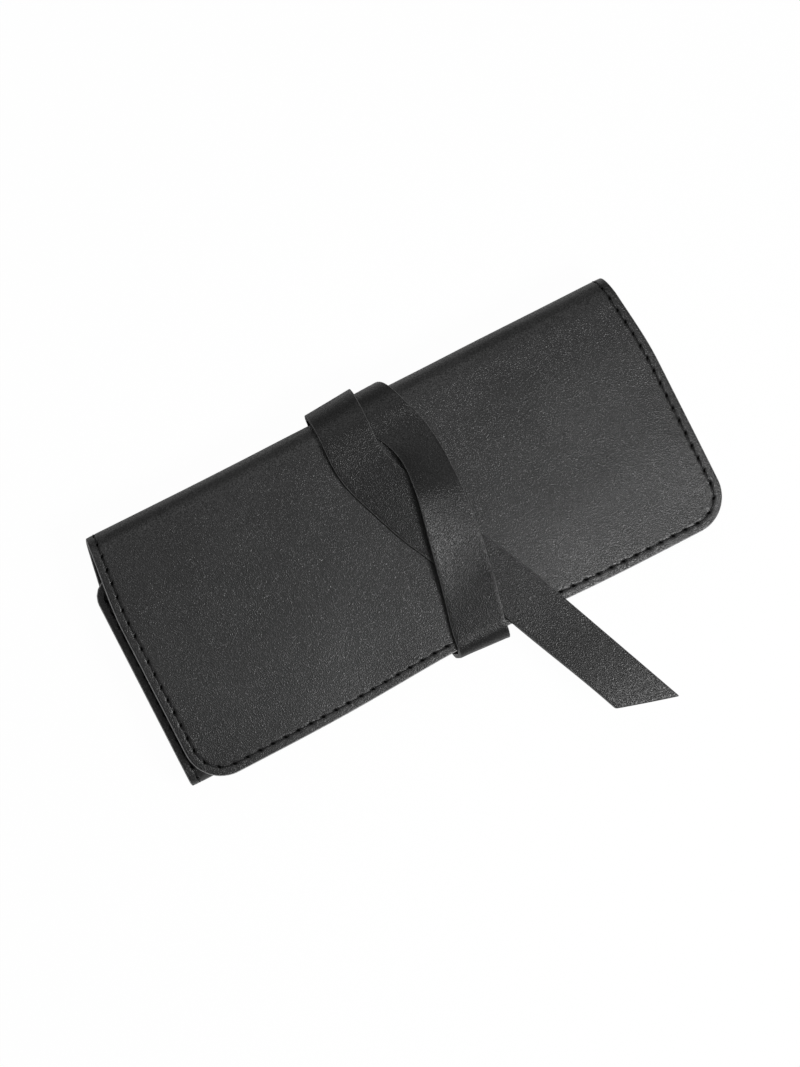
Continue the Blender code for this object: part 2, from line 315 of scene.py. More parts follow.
def waisted(x, point):
    """The front is drawn in where the strap is pulled tight round it, and the top dips a little."""
    drawn = waist_in * math.exp(-((x / waist_in_reach) ** 2)) * smooth(point.x / front_y)
    dip = waist_dip * math.exp(-((x / waist_reach) ** 2))
    level = max(point.y - base_level, 0.0) / case_height
    return Vector((x, point.x + drawn, point.y - dip * level))


def on_path(path, s, x, depth):
    point, outward = path.at(s)
    return waisted(x, point - outward * depth)


# ---------------------------------------------------------------- materials


def add_node(tree, kind, inputs=(), **settings):
    """A shader node with its inputs set, or linked where they are given another node's output."""
    made = tree.nodes.new("ShaderNode" + kind)
    for key, value in settings.items():
        setattr(made, key, value)
    for key, value in dict(inputs).items():
        if isinstance(value, bpy.types.NodeSocket):
            tree.links.new(value, made.inputs[key])
        else:
            made.inputs[key].default_value = value
    return made


class Finish:
    """A node material under construction: a Principled BSDF and short calls for what feeds it."""

    def __init__(self, name, colour, roughness, specular=0.5):
        self.made = bpy.data.materials.new(name)
        self.made.use_nodes = True
        self.made.diffuse_color = (*colour, 1.0)
        self.tree = self.made.node_tree
        self.shader = self.tree.nodes["Principled BSDF"]
        self.shader.inputs["Base Color"].default_value = (*colour, 1.0)
        self.shader.inputs["Roughness"].default_value = roughness
        self.shader.inputs["Specular IOR Level"].default_value = specular
        self.place = self.tree.nodes.new("ShaderNodeTexCoord").outputs["Object"]

    def node(self, kind, inputs=(), **settings):
        return add_node(self.tree, kind, inputs, **settings)

    def noise(self, scale, detail=2.0, rough=0.5):
        return self.node("TexNoise", {"Vector": self.place, "Scale": scale, "Detail": detail,
                                      "Roughness": rough}).outputs["Fac"]

    def cells(self, scale, smoothness=0.6):
        return self.node("TexVoronoi", {"Vector": self.place, "Scale": scale, "Smoothness": smoothness},
                         feature="SMOOTH_F1").outputs["Distance"]

    def spread(self, value, low, high, start=0.3, end=0.7):
        return self.node("MapRange", {"Value": value, "From Min": start, "From Max": end, "To Min": low,
                                      "To Max": high}).outputs["Result"]

    def math(self, operation, a, b):
        return self.node("Math", {0: a, 1: b}, operation=operation).outputs[0]

    def tint(self, value, dark, light, start=0.3, end=0.7):
        """The base colour runs from dark to light with a value."""
        ramp = self.node("ValToRGB", {"Fac": value})
        for stop, place, colour in zip(ramp.color_ramp.elements, (start, end), (dark, light)):
            stop.position = place
            stop.color = (*colour, 1.0)
        self.tree.links.new(ramp.outputs["Color"], self.shader.inputs["Base Color"])

    def rough(self, value):
        self.tree.links.new(value, self.shader.inputs["Roughness"])

    def bump(self, layers):
        """Bumps on bumps: pairs of a height and how many metres it stands."""
        normal = None
        for height, distance in layers:
            made = self.node("Bump", {"Height": height, "Distance": distance, "Strength": 1.0})
            if normal:
                self.tree.links.new(normal, made.inputs["Normal"])
            normal = made.outputs["Normal"]
        self.tree.links.new(normal, self.shader.inputs["Normal"])


def grey(value):
    return (value, value, value)


def leather_finish(name, value, roughness, specular=0.5):
    """Fine pebbled black leather: crowned cells of half a millimetre, creases, and speckled, cloudy dye."""
    made = Finish(name, grey(value), roughness, specular)
    pebble = made.cells(grain_scale)
    creases = made.noise(crease_scale, detail=1.0)
    clouds = made.noise(28.0, detail=4.0, rough=0.55)
    speckle = made.noise(grain_scale, detail=0.0)
    crown = made.spread(pebble, low=1.0, high=0.0, start=0.10, end=0.55)
    shade = made.math("ADD", made.math("MULTIPLY", clouds, 0.3), made.math("MULTIPLY", speckle, 0.7))
    made.tint(shade, dark=grey(value * 0.10), light=grey(value * 1.90), start=0.42, end=0.58)
    made.rough(made.spread(speckle, low=roughness + 0.09, high=roughness - 0.09, start=0.36, end=0.64))
    made.bump([(creases, crease_depth), (crown, crown_height)])
    return made.made


def edge_finish(name, value):
    """A cut edge: fibres rubbed smooth with dye; a pale value also makes it a painted highlight along the
    edge.
    """
    made = Finish(name, grey(value), roughness=0.5, specular=0.4)
    made.tint(made.noise(900.0, detail=4.0, rough=0.7), dark=grey(value * 0.55), light=grey(value * 1.45))
    made.bump([(made.noise(1400.0, detail=3.0), 0.00008)])
    return made.made


def suede_finish(name, value):
    """The lining: soft short nap."""
    made = Finish(name, grey(value), roughness=0.92, specular=0.15)
    made.shader.inputs["Sheen Weight"].default_value = 0.25
    made.shader.inputs["Sheen Roughness"].default_value = 0.6
    made.tint(made.noise(420.0, detail=5.0, rough=0.7), dark=grey(value * 0.6), light=grey(value * 1.5))
    made.bump([(made.noise(3200.0, detail=3.0, rough=0.8), 0.00012)])
    return made.made


def elastic_finish(name, value):
    """Woven elastic: fine cords along the band, crossed by the weft."""
    made = Finish(name, grey(value), roughness=0.7, specular=0.25)
    cords = made.node("TexWave", {"Vector": made.place, "Scale": 330.0, "Distortion": 0.4},
                      bands_direction="Y").outputs["Fac"]
    weft = made.node("TexWave", {"Vector": made.place, "Scale": 520.0, "Distortion": 0.6},
                     bands_direction="X").outputs["Fac"]
    woven = made.math("MULTIPLY", cords, weft)
    made.tint(woven, dark=grey(value * 0.5), light=grey(value * 1.6), start=0.1, end=0.8)
    made.bump([(cords, 0.00016), (weft, 0.00008)])
    return made.made


def thread_finish(name, value):
    """Waxed thread, a little mottled."""
    made = Finish(name, grey(value), roughness=0.7, specular=0.2)
    made.tint(made.noise(2400.0), dark=grey(value * 0.6), light=grey(value * 1.7))
    made.bump([(made.noise(3600.0), 0.00008)])
    return made.made


# Cells and creases for each metre, and how many metres they stand
grain_scale = 2300.0
crease_scale = 3000.0
crease_depth = 0.00005
crown_height = 0.00006

case_leather = leather_finish("case_leather", 0.0130, roughness=0.345, specular=0.36)
strap_leather = leather_finish("strap_leather", 0.0060, roughness=0.33, specular=0.27)
pocket_leather = leather_finish("pocket_leather", 0.015, roughness=0.45)
# Cut edges in pale grey: partly their own colour, partly a painted highlight for the bright line the edges
# catch
cut_edge_and_highlight = edge_finish("cut_edge_and_highlight", 0.300)
strap_edge = edge_finish("strap_edge", 0.020)
# The strap's arrises: a pale line of painted highlight along the top of each side
painted_arris_highlight = edge_finish("painted_arris_highlight", 0.110)
lining_suede = suede_finish("lining_suede", 0.030)
elastic = elastic_finish("elastic", 0.022)
thread = thread_finish("thread", 0.005)
# Needle holes: near black, painted shade in the holes
painted_hole_shade = Finish("painted_hole_shade", grey(0.002), 0.9, 0.05).made

# ---------------------------------------------------------------- meshes


class Shell:
    """The points and faces of one closed piece."""

    def __init__(self):
        self.points = []
        self.faces = []
        self.slots = []

    def row(self, points):
        start = len(self.points)
        self.points.extend(points)
        return list(range(start, len(self.points)))

    def face(self, corners, slot=own_slot):
        self.faces.append(tuple(corners))
        self.slots.append(slot)

    def band(self, a, b):
        for i in range(len(a) - 1):
            self.face((a[i], a[i + 1], b[i + 1], b[i]))

    def join(self, fine, coarse, each):
        """A band from a row to one that has a point for each few of its own."""
        for j in range(len(coarse) - 1):
            self.face((*fine[j * each:(j + 1) * each + 1], coarse[j + 1], coarse[j]))

    def tube(self, places, radius, sides=6):
        """A round tube through places, each a point and the normal of the surface it lies on."""
        rings = []
        for i, (point, normal) in enumerate(places):
            heading = (places[min(i + 1, len(places) - 1)][0] - places[max(i - 1, 0)][0]).normalized()
            across = heading.cross(normal).normalized()
            up = across.cross(heading)
            ring = self.row([point + (across * math.cos(a) + up * math.sin(a)) * radius
                             for a in steps(0, 2 * math.pi, sides)[:-1]])
            rings.append(ring + ring[:1])
        for a, b in zip(rings, rings[1:]):
            self.band(a, b)
        self.face(rings[0][:-1])
        self.face(rings[-1][:-1])

    def piece(self, name, *finishes, sharp=50):
        mesh = bpy.data.meshes.new(name)
        mesh.from_pydata([tuple(p) for p in self.points], [], self.faces)
        for finish in finishes:
            mesh.materials.append(finish)
        mesh.polygons.foreach_set("material_index", self.slots)
        body = bmesh.new()
        body.from_mesh(mesh)
        bmesh.ops.recalc_face_normals(body, faces=body.faces)
        body.to_mesh(mesh)
        body.free()
        mesh.shade_smooth()
        mesh.set_sharp_from_angle(angle=math.radians(sharp))
        made = bpy.data.objects.new(name, mesh)
        bpy.context.collection.objects.link(made)
        return made


# ---------------------------------------------------------------- the sheet


def half_side(s):
    """Half the sheet's length at s, without the rounding of its free ends."""
    fold_middle = (lower_bend[0] + upper_bend[1]) / 2
    return case_length / 2 - fold_draw_in * (1 - smooth(abs(s - fold_middle) / fold_draw_reach))


def sheet_shift(s):
    """The panels under the flap stand out at its left end; the back of the case takes up the difference."""
    start = lower_bend[0] - shift_reach
    return -panel_shift * (1 - smooth((s - start) / (upper_bend[1] - start)))


def swell(s, x):
    """How far the leather stands out of its plain shape: slack beside the strap, none under it."""
    free = smooth((abs(x - held_middle) - held_half) / held_fade)
    wave = wave_height * noise.noise(Vector((x * wave_counts[0], s * wave_counts[1], wave_seed)))
    bend_start, bend_end = upper_bend
    rounded = (smooth((bend_end + back_round_reach - s) / back_round_reach)
               * smooth((s - bend_start) / (bend_end - bend_start)))
    drooped = smooth((s - sheet.length + droop_reach) / droop_reach)
    return free * (wave - back_round_in * rounded - droop * drooped)


def sheet_point(s, x, depth):
    return on_path(sheet, s, sheet_shift(s) + x, depth - swell(s, x))


class Panel:
    """A stretch of the sheet, from a split line to a second one or to a free end with rounded corners."""

    def __init__(self, start, end, radius=0.0):
        self.start, self.end, self.radius = start, end, radius
        self.way = 1 if end > start else -1
        straight = abs(end - start) - radius
        sides = self.spaced(straight)
        side = [straight * t for t in sides]
        if not radius:
            self.lines = [[("side", t, x) for t in side] for x in (-1, 1)]
            self.rows = 2 * (len(side) - 1) // stitch_steps
            self.columns = 2 * round(case_length / stitch_pitch)
            return
        corner = [math.pi / 2 * t for t in self.spaced((radius - stitch_inset) * math.pi / 2)]
        front = [2 * t - 1 for t in self.spaced(2 * (half_side(end) - radius))]
        self.lines = [[("side", t, -1) for t in side] + [("corner", a, -1) for a in corner[1:]]
                      + [("front", x, 0) for x in front[1:]] + [("corner", a, 1) for a in corner[-2::-1]]
                      + [("side", t, 1) for t in side[-2::-1]]]
        around = 2 * (len(corner) - 1) // stitch_steps
        self.rows = 2 * (len(side) - 1) // stitch_steps + around // 2
        self.columns = 2 * (len(front) - 1) // stitch_steps + around

    @staticmethod
    def spaced(length):
        """Shares of a length: a whole number of stitches, each with its steps."""
        count = max(round(length / stitch_pitch), 1)
        return [(i + share) / count for i in range(count) for share in stitch_shares] + [1.0]

    def flat(self, station, inset):
        """Place along the sheet and across it, this far inside the cut edge."""
        kind, value, side = station
        if kind == "side":
            s = self.start + self.way * value
            return s, side * (half_side(s) - inset)
        middle_s = self.end - self.way * self.radius
        middle_x = half_side(self.end) - self.radius
        if kind == "front":
            return self.end - self.way * inset, value * middle_x
        arm = self.radius - inset
        return middle_s + self.way * arm * math.sin(value), side * (middle_x + arm * math.cos(value))

    def grid(self, inset):
        """Even places inside the border: the sides' own places, joined across the panel."""
        each = stitch_steps // 2
        if self.radius:
            ring = [Vector(self.flat(p, inset)) for p in self.lines[0][::each]]
            left = ring[:self.rows + 1]
            top = ring[self.rows:self.rows + self.columns + 1]
            right = ring[::-1][:self.rows + 1]
        else:
            left, right = [[Vector(self.flat(p, inset)) for p in line[::each]] for line in self.lines]
            top = [left[-1].lerp(right[-1], b / self.columns) for b in range(self.columns + 1)]
        bottom = [left[0].lerp(right[0], b / self.columns) for b in range(self.columns + 1)]
        made = []
        for a in range(self.rows + 1):
            up = a / self.rows
            row = []
            for b in range(self.columns + 1):
                over = b / self.columns
                ruled = bottom[b] * (1 - up) + top[b] * up + left[a] * (1 - over) + right[a] * over
                corners = ((bottom[0] * (1 - over) + bottom[-1] * over) * (1 - up)
                           + (top[0] * (1 - over) + top[-1] * over) * up)
                row.append(ruled - corners)
            made.append(row)
        return made


# The border's section: insets of the rows on its seen face, then insets and depths down its cut edge
seen_insets = (0.0042, 0.0038, 0.0034, 0.0030, 0.0026, 0.0022, 0.0017, 0.0010, 0.0005)
grid_inset = 0.0053
arris = ((0.00040, 0.00012), (0.00033, 0.00017), (0.00022, 0.00042), (0.00010, 0.00075), (0.00002, 0.00105))
back_arris = ((0.0, 0.00012), (0.00004, 0.00004), (0.00012, 0.0))


def pressed(index, inset):
    """How deep the seam has drawn the surface in at this place of the border."""
    groove = groove_depth * math.exp(-(((inset - stitch_inset) / groove_width) ** 2))
    phase = index % stitch_steps
    at_hole = 1.0 if phase == 0 else beside_hole_share if phase in (1, stitch_steps - 1) else 0.0
    edge = edge_fall * (1 - smooth(inset / stitch_inset))
    return groove + edge + hole_depth * at_hole * math.exp(-((inset - stitch_inset) / hole_width) ** 2)


def sheet_layer(name, panel, seen, hidden, finish):
    """One layer of a panel: a seen face with the seam's groove and holes, the holes painted near black as
    shade, a cut edge and a hidden face.
    """
    into = 1 if hidden > seen else -1
    shell = Shell()
    rings = [[] for line in panel.lines]
    profile = [(inset, None) for inset in seen_insets]
    profile += [(inset, seen + into * depth) for inset, depth in arris]
    profile += [(inset, hidden - into * depth) for inset, depth in back_arris]
    for inset, depth in profile:
        for number, line in enumerate(panel.lines):
            points = []
            for i, station in enumerate(line):
                turned = hole_slant * {1: 1, stitch_steps - 1: -1}.get(i % stitch_steps, 0)
                near = math.exp(-(((inset - stitch_inset) / hole_slant_width) ** 2)) if depth is None else 0.0
                s, x = panel.flat(station, inset - turned * near)
                deep = seen + into * pressed(i, inset) if depth is None else depth
                points.append(sheet_point(s, x, deep))
            rings[number].append(shell.row(points))
    for line in rings:
        for k in range(len(line) - 1):
            slot = edge_slot if k > len(seen_insets) else own_slot
            on_seam = abs(profile[k][0] + profile[k + 1][0] - 2 * stitch_inset) < hole_reach
            a, b = line[k], line[k + 1]
            for i in range(len(a) - 1):
                # Faces round each needle hole take the painted shade of the hole
                hole = on_seam and slot == own_slot and i % stitch_steps in (0, stitch_steps - 1)
                shell.face((a[i], a[i + 1], b[i + 1], b[i]), third_slot if hole else slot)
    flats = panel.grid(grid_inset)
    faces = []
    for depth in (seen, hidden):
        rows = [shell.row([sheet_point(s, x, depth) for s, x in row]) for row in flats]
        for a, b in zip(rows, rows[1:]):
            shell.band(a, b)
        faces.append(rows)
    for rows, k in zip(faces, (0, -1)):
        if panel.radius:
            border = [[row[0] for row in rows] + rows[-1][1:] + [row[-1] for row in rows[-2::-1]]]
        else:
            border = [[row[0] for row in rows], [row[-1] for row in rows]]
        for line, coarse in zip(rings, border):
            shell.join(line[k], coarse, stitch_steps // 2)
    ends = [(0, rings[0], 0, rings[-1], -1 if panel.radius else 0)]
    if not panel.radius:
        ends.append((-1, rings[0], -1, rings[1], -1))
    for row, left, i, right, j in ends:
        shell.face([ring[i] for ring in left] + faces[1][row] + [ring[j] for ring in right[::-1]]
                   + faces[0][row][::-1], edge_slot)
    return shell.piece(name, finish, cut_edge_and_highlight, painted_hole_shade)


def stitch(shell, place, shares, dive, rise, reach, arch, radius):
    """One stitch of thread through place(share, height): up out of one hole and down into the next."""
    places = []
    for q in shares:
        near = min(q, 1 - q)
        high = mix(-dive, rise, smooth(near / reach)) + arch * smooth(near / 0.5)
        point = place(q, high)
        places.append((point, (place(q, high + normal_probe) - point).normalized()))
    shell.tube(places, radius)


def seam_threads(shell, panel, seen, into):
    """The thread on one side of a panel, with a stitch for each pair of holes."""
    for line in panel.lines:
        for i in range(0, len(line) - 1, stitch_steps):
            def place(q, high):
                s, x = panel.flat(mixed(line, i, q), stitch_inset + thread_slant * (1 - 2 * q))
                return sheet_point(s, x, seen - into * high)

            stitch(shell, place, thread_shares, thread_dive, thread_rise - groove_depth, thread_reach,
                   thread_arch, thread_radius)


def mixed(line, i, q):
    """The place a share q of a stitch along from station i."""
    j = max(k for k, share in enumerate(stitch_shares) if share <= q)
    start, end = line[i + j:i + j + 2]
    left, right = (*stitch_shares, 1.0)[j:j + 2]
    share = (q - left) / (right - left)
    if start[0] == end[0] and start[2] == end[2]:
        return (start[0], mix(start[1], end[1], share), start[2])
    if start[0] == "side":
        return ("corner", mix(0.0, end[1], share), end[2])
    if end[0] == "front":
        return ("front", mix(-1.0, end[1], share), 0)
    if start[0] == "front":
        return ("corner", mix(math.pi / 2, end[1], share), end[2])
    return end


lining_seen = panel_thickness
lining_hidden = leather_thickness + lining_gap

# Each place where a piece passes from one body to another, with the points between which it does
blend_span = 0.0072
back_blend_y = back_y - back_fold_radius
top_blend_y = back_y - 0.0008
top_blend_z = base_level + case_height - back_fold_radius + 0.0002
blends = {
    "front": ("inner_panel", "base", (0.0, 0.0, base_level + front_fold_height - panel_thickness),
              (0.0, 0.0, base_level + panel_thickness)),
    "back": ("base", "back_fold", (0.0, back_blend_y, base_level),
             (0.0, back_blend_y + blend_span, base_level + blend_span)),
    "top": ("back_fold", "flap", (0.0, top_blend_y, top_blend_z),
            (0.0, top_blend_y - blend_span, top_blend_z + blend_span)),
}
panels = {
    "front": Panel(base_middle, 0.0, inner_corner_radius),
    "back": Panel(base_middle, wall_middle),
    "top": Panel(wall_middle, sheet.length, flap_corner_radius),
}
stood_for = {
    "front": ("inner_panel", "front_fold", "base"),
    "back": ("base", "back_lower_bend", "back_wall"),
    "top": ("back_wall", "back_upper_bend", "flap"),
}

for part, panel in panels.items():
    outer = sheet_layer("leather_" + part, panel, 0.0, leather_thickness, case_leather)
    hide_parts(*(node + "_leather" for node in stood_for[part]))
    inner = sheet_layer("lining_" + part, panel, lining_seen, lining_hidden, lining_suede)
    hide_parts(*(node + "_lining" for node in stood_for[part]))
    shell = Shell()
    seam_threads(shell, panel, 0.0, 1)
    seam_threads(shell, panel, lining_seen, -1)
    sewn = shell.piece("seam_" + part, thread)
    for piece in (outer, inner, sewn):
        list(blends[part])
        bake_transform(piece)

# ---------------------------------------------------------------- the strap


def curve_through(points):
    """A smooth curve x(s) through points in order of s, with the slopes of their neighbours."""
    def slope(i):
        a, b = points[max(i - 1, 0)], points[min(i + 1, len(points) - 1)]
        return (b[1] - a[1]) / (b[0] - a[0])

    def curve(s):
        i = 0
        while i < len(points) - 2 and s > points[i + 1][0]:
            i += 1
        (a, x), (b, y) = points[i], points[i + 1]
        t = (s - a) / (b - a)
        if t < 0:
            return x + slope(0) * (s - a)
        if t > 1:
            return y + slope(len(points) - 1) * (s - b)
        rise = (b - a) * (slope(i) * t * (1 - t) ** 2 - slope(i + 1) * t * t * (1 - t))
        return x + (y - x) * smooth(t) + rise
    return curve


def strap_route():
    points = []
    for start, run, shares in (
            (0.0, first_lower[0], first_under_shares),
            (first_upper[1], over_run, wrap_route_shares),
            (front_foot[1], second_lower[0] - front_foot[1], second_under_shares),
            (second_upper[1], over_run, tuck_route_shares)):
        points += [(start + run * along, strap_width * across) for along, across in shares]
    return curve_through(points)


middle = strap_route()
tail_hinge = second_upper[1] + over_run * tail_hinge_share


def middle_slope(s):
    return (middle(s + slope_probe) - middle(s - slope_probe)) / (2 * slope_probe)


def crossed(s):
    """How far past the crossing the first turn is."""
    behind, before = crossing_shares
    share = (s - first_upper[1]) / over_run
    return smooth((share - behind) / (before - behind))


def strap_lifts():
    """How far the left and right edges stand off the case over the strap's length, in strap steps."""
    points = [(0.0, 0.0, 0.0), (first_lower[0], 0.0, 0.0), (first_lower[1], 0.0, 0.0),
              (first_upper[0], *wrap_wall_shares)]
    points += [(first_upper[1] + over_run * along, *sides) for along, *sides in wrap_lift_shares]
    points += [(s, 1.0, 1.0) for s in (*front_foot, *second_lower)]
    points += [(second_upper[0], *tuck_wall_shares)]
    points += [(second_upper[1] + over_run * along, *sides) for along, *sides in tuck_lift_shares]
    return [curve_through([(point[0], point[side]) for point in points]) for side in (1, 2)]


left_lift, right_lift = strap_lifts()


def lift(s, v):
    """How many steps of one strap a place v across the strap stands off the case."""
    return mix(left_lift(s), right_lift(s), v / strap_width + 0.5)


def curl(s, v):
    """How much each turn is drawn in by the crossing: the first at the left, the second at the right."""
    first, second = (over_run * share for share in curl_shares)
    first_near = math.exp(-(((s - first_upper[1] - first) / curl_reach) ** 2))
    second_near = math.exp(-(((s - second_upper[1] - second) / curl_reach) ** 2))
    return first_near * (0.5 - v / strap_width) ** 2, second_near * (0.5 + v / strap_width) ** 2


def strap_point(s, v, thick, slant=0.0):
    """A point of the strap: v across it from the middle, thick above its inner face."""
    slope = middle_slope(s)
    lean = math.hypot(1, slope)
    first, second = curl(s, v)
    narrowed = tail_narrowing * (0.5 - v / strap_width) * smooth((s - tail_hinge) / tail_reach)
    across = v + first_curl_in * first - second_curl_in * second + narrowed
    along = s - across * slope / lean + slant / lean
    x = middle(s) + across / lean + slant * slope / lean
    height = (seat_gap + strap_step * lift(along, v) + curl_rise * first * crossed(s) + thick
              + tail_rise * smooth((s - tail_hinge) / tail_reach))
    return on_path(strap_path, along, x, -height)


def strap_profile(shrink=0.0):
    """Places round the strap's section with their marks: 0 on a face, 2 and 3 at the arris, which takes a
    painted highlight, 1 on the side.
    """
    half = strap_width / 2 - shrink
    top, low = strap_thickness - shrink, -strap_sink + shrink
    places = [(v, top, 0) for v in steps(-half + strap_top_margin, half - strap_top_margin, strap_top_steps)]
    wall = [(half - inset, top - fall, mark) for inset, fall, mark in strap_upper_wall]
    wall += [(half - inset, low + rise, mark) for inset, rise, mark in strap_lower_wall]
    places += wall
    places += [(v, low, 0) for v in steps(half - strap_low_margin, -half + strap_low_margin, strap_low_steps)]
    places += [(-v, thick, mark) for v, thick, mark in wall[::-1]]
    return places


def strap_piece(name, start, end, cut_end=False):
    """A stretch of the strap; the tail's end is cut at a slant, with its arrises broken."""
    shell = Shell()
    count = max(round((end - start) / strap_spacing), 4)
    stops = [(s, 0.0) for s in steps(start, end, count)]
    if cut_end:
        stops = stops[:-1] + [(end - back, shrink) for back, shrink in cut_end_stops]
    rows = []
    for s, shrink in stops:
        slanted = max((s - tail_hinge) / (strap_path.length - tail_hinge), 0.0) if cut_end else 0.0
        rows.append(shell.row([strap_point(s, v, thick, tail_slant * (v / strap_width + 0.5) * slanted)
                               for v, thick, mark in strap_profile(shrink)]))
    marks = [mark for v, thick, mark in strap_profile()]
    around = len(marks)
    for a, b, (s, shrink) in zip(rows, rows[1:], stops[1:]):
        for i in range(around):
            k = (i + 1) % around
            # Faces between marks 2 and 3 take the painted highlight of the arris
            at_arris = {marks[i], marks[k]} == {2, 3}
            slot = third_slot if at_arris else edge_slot if marks[i] and marks[k] else own_slot
            shell.face((a[i], a[k], b[k], b[i]), edge_slot if shrink else slot)
    shell.face(rows[0], edge_slot)
    shell.face(rows[-1], edge_slot)
    made = shell.piece(name, strap_leather, strap_edge, painted_arris_highlight)
    return made


first_wall = (first_lower[1] + first_upper[0]) / 2
second_wall = (second_lower[1] + second_upper[0]) / 2
foot = (front_edge[1] + front_foot[0]) / 2
tuck_split = second_upper[1] + over_run * tuck_split_share
tail_bend = 0.006
tail_probe = 0.002
tail_place = strap_point(tail_hinge, 0.0, strap_thickness)
tail_heading = (strap_point(tail_hinge + tail_probe, 0.0, strap_thickness) - tail_place).normalized()
blends["tail"] = ("flap", "strap_tail", tuple(tail_place - tail_heading * tail_bend),
                  tuple(tail_place + tail_heading * tail_bend))

for name, start, end, blend, nodes in (
        ("strap_anchor", 0.0, first_wall, "back", ("strap_anchor_run", "strap_first_back_turn")),
        ("strap_wrap", first_wall, foot, "top",
         ("strap_first_back_turn", "strap_over_wrap", "strap_front_drop")),
        ("strap_underside", foot, second_wall, "back",
         ("strap_front_return", "strap_under_run", "strap_second_back_turn")),
        ("strap_tuck", second_wall, tuck_split, "top", ("strap_second_back_turn", "strap_tuck_run")),
        ("strap_end", tuck_split, strap_path.length, "tail", ("strap_tuck_run", "strap_tail"))):
    piece = strap_piece(name, start, end, cut_end=blend == "tail")
    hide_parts(*nodes)
    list(blends[blend])
    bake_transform(piece)

# ---------------------------------------------------------------- the pocket and the cable band


def eased(count, edge, span):
    """Places from 0 to span, closer together by the two ends."""
    near = [0.0] + [edge * share for share in eased_shares]
    return near + steps(edge, span - edge, count) + [span - place for place in near[::-1]]


def rounding_at(distance, edge):
    """How much lower a rounded edge lies this near to it."""
    left = max(1 - distance / edge, 0.0)
    return edge * (1 - math.sqrt(1 - left * left))


def rounded_slab(shell, place, half, depth, thick, edge, counts):
    """A closed slab through place(x, y, height), with rounded top edges: x to half each way, y to depth."""
    xs, ys = eased(counts[0], edge, 2 * half), eased(counts[1], edge, depth)
    top, low = [], []
    for y in ys:
        near = min(y, depth - y)
        top.append([place(x - half, y, thick - rounding_at(min(near, x, 2 * half - x), edge)) for x in xs])
        low.append([place(x - half, y, 0.0) for x in xs])
    rims = []
    for rows in [[shell.row(row) for row in grid] for grid in (top, low)]:
        for a, b in zip(rows, rows[1:]):
            shell.band(a, b)
        rims.append(rows[0] + [row[-1] for row in rows[1:]] + rows[-1][-2::-1]
                    + [row[0] for row in rows[-2:0:-1]])
    a, b = rims
    for i in range(len(a)):
        k = (i + 1) % len(a)
        shell.face((a[i], a[k], b[k], b[i]), edge_slot)


def sew_line(shell, place, start, end, pitch):
    """A straight run of stitches through place(x, y, height), from one point of a surface to another."""
    start, end = Vector(start), Vector(end)
    count = max(round((end - start).length / pitch), 1)
    for i in range(count):
        a, b = [start.lerp(end, (i + share) / count) for share in line_span]
        stitch(shell, lambda q, high: place(*a.lerp(b, q), high), line_shares, line_dive, line_rise,
               line_reach, 0.0, line_radius)


closed_end = front_fold_start - pocket_margin
mouth = closed_end - pocket_depth
pocket_run = closed_end - mouth
pocket_half = case_length / 2 - pocket_margin
pocket_inside = panel_thickness + sewn_gap


def pocket_place(x, t, height):
    """A point of the pocket: t metres from its mouth at this x, this high over the lining."""
    notch = pocket_notch_depth * math.exp(-((x / pocket_notch_reach) ** 2))
    s = mouth + notch + (pocket_run - notch) * t / pocket_run
    return on_path(sheet, s, x - panel_shift, pocket_inside + height)


shell = Shell()
rounded_slab(shell, pocket_place, pocket_half, pocket_run, pocket_thickness, pocket_rounding, pocket_counts)
pocket = shell.piece("pocket", pocket_leather, cut_edge_and_highlight)
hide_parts("pocket_panel")
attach(pocket, "inner_panel")

shell = Shell()
seam_half = pocket_half - pocket_seam_inset
seam_depth = pocket_run - pocket_seam_inset
seam_corners = [(-seam_half, pocket_seam_start), (-seam_half, seam_depth), (seam_half, seam_depth),
                (seam_half, pocket_seam_start)]
for start, end in zip(seam_corners, seam_corners[1:]):
    sew_line(shell, lambda x, y, h: pocket_place(x, y, pocket_thickness + h), start, end, pocket_stitch)
pocket_seam = shell.piece("pocket_seam", thread)
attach(pocket_seam, "inner_panel")

band_half = case_length / 2 - band_margin
band_start = band_place - band_width / 2
band_end = band_place + band_width / 2
band_floor = base_level + panel_thickness + sewn_gap
loop_run = 2 * band_half / band_loops


def band_place_at(x, y, height):
    bulge = band_bulge * math.sin(math.pi * (x + band_half) / loop_run) ** 2
    return Vector((x - panel_shift, y, band_floor + bulge + height))


shell = Shell()
rounded_slab(shell, lambda x, y, h: band_place_at(x, band_start + y, h), band_half, band_width,
             band_thickness, band_rounding, band_counts)
band = shell.piece("elastic_band", elastic, elastic)
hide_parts("cable_band")
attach(band, "base")

shell = Shell()
for i in range(band_loops + 1):
    x = -band_half + i * loop_run
    x = min(max(x, -band_half + band_seam_inset), band_half - band_seam_inset)
    for dx in (-band_seam_spread, band_seam_spread):
        sew_line(shell, lambda a, b, h: band_place_at(a, b, band_thickness + h),
                 (x + dx, band_start + band_seam_margin), (x + dx, band_end - band_seam_margin), band_stitch)
band_seam = shell.piece("band_tacks", thread)
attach(band_seam, "base")


def anchor_place(x, y, height):
    return strap_point(y, x, strap_thickness + height)


shell = Shell()
box_half = strap_width / 2 - anchor_box_inset
near_end, far_end = anchor_box_reach
corners = [(-box_half, near_end), (box_half, near_end), (box_half, far_end), (-box_half, far_end)]
box_lines = [*zip(corners, corners[1:] + corners[:1]), (corners[0], corners[2]), (corners[1], corners[3])]
for start, end in box_lines:
    sew_line(shell, anchor_place, start, end, anchor_stitch)
anchor_seam = shell.piece("anchor_seam", thread)
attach(anchor_seam, "base")

# ---------------------------------------------------------------- floor, light and camera

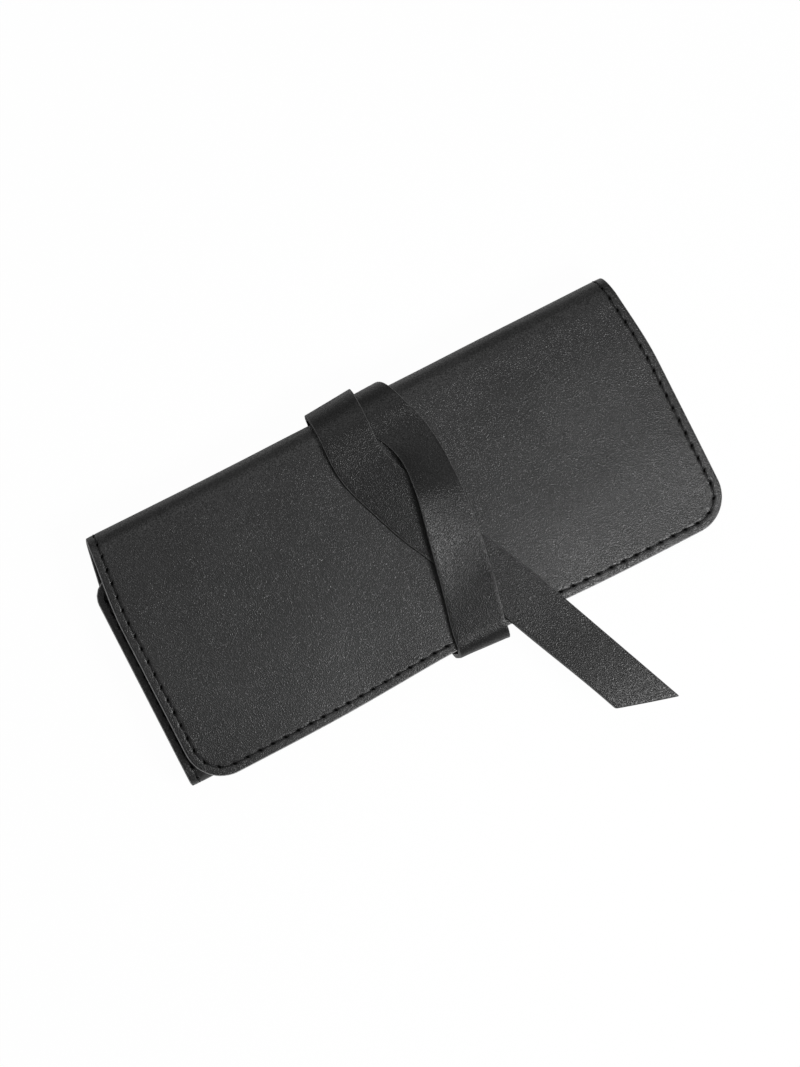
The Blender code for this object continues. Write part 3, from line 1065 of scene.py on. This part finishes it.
# The camera sees the floor almost white by its own glow; to all other rays it is a plain pale floor
floor_finish = bpy.data.materials.new("floor")
floor_finish.use_nodes = True
tree = floor_finish.node_tree
tree.nodes.clear()
diffuse = add_node(tree, "BsdfDiffuse", {"Color": (*grey(floor_value), 1.0)})
glow = add_node(tree, "Emission", {"Color": (1.0, 1.0, 1.0, 1.0), "Strength": 1.0})
rays = add_node(tree, "LightPath")
share = add_node(tree, "Math", {0: rays.outputs["Is Camera Ray"], 1: floor_glow}, operation="MULTIPLY")
blended = add_node(tree, "MixShader", {0: share.outputs[0], 1: diffuse.outputs[0], 2: glow.outputs[0]})
add_node(tree, "OutputMaterial", {"Surface": blended.outputs[0]})

floor_corners = [(x * floor_half, y * floor_half, 0) for x, y in ((-1, -1), (1, -1), (1, 1), (-1, 1))]
floor_mesh = bpy.data.meshes.new("floor")
floor_mesh.from_pydata(floor_corners, [], [(0, 1, 2, 3)])
floor_mesh.materials.append(floor_finish)
floor = bpy.data.objects.new("floor", floor_mesh)
bpy.context.collection.objects.link(floor)

# A white world that the camera sees in full, and that lights the leather more weakly
world = bpy.data.worlds.new("studio")
bpy.context.scene.world = world
world.use_nodes = True
tree = world.node_tree
background = tree.nodes["Background"]
rays = add_node(tree, "LightPath")
strength = None
for ray, level in world_levels:
    seen = add_node(tree, "Math", {0: rays.outputs[ray], 1: level}, operation="MULTIPLY").outputs[0]
    if strength:
        seen = add_node(tree, "Math", {0: strength, 1: seen}, operation="MAXIMUM").outputs[0]
    strength = seen
tree.links.new(strength, background.inputs["Strength"])
background.inputs["Color"].default_value = (1.0, 1.0, 1.0, 1.0)


def soft_light(name, place, aim, size, power):
    data = bpy.data.lights.new(name, "AREA")
    data.shape = "DISK"
    data.size = size
    data.energy = power
    made = bpy.data.objects.new(name, data)
    bpy.context.collection.objects.link(made)
    made.location = place
    made.rotation_mode = "QUATERNION"
    made.rotation_quaternion = (Vector(aim) - Vector(place)).to_track_quat("-Z", "Y")


soft_light("key", place=(0.14, -0.24, 0.45), aim=(0.02, -0.01, 0.02), size=0.20, power=2.25)
soft_light("fill", place=(0.0, 0.33, 0.50), aim=(0.0, 0.02, 0.02), size=0.50, power=0.80)

camera_data = bpy.data.cameras.new("camera")
camera_data.lens = camera_lens
camera_data.sensor_width = camera_sensor
camera = bpy.data.objects.new("camera", camera_data)
bpy.context.collection.objects.link(camera)
camera.location = camera_place
right = Vector(camera_right).normalized()
back = Vector(camera_back).normalized()
up = back.cross(right).normalized()
right = up.cross(back)
camera.rotation_mode = "QUATERNION"
camera.rotation_quaternion = Matrix((right, up, back)).transposed().to_quaternion()
bpy.context.scene.camera = camera
bpy.context.scene.view_settings.view_transform = "Standard"
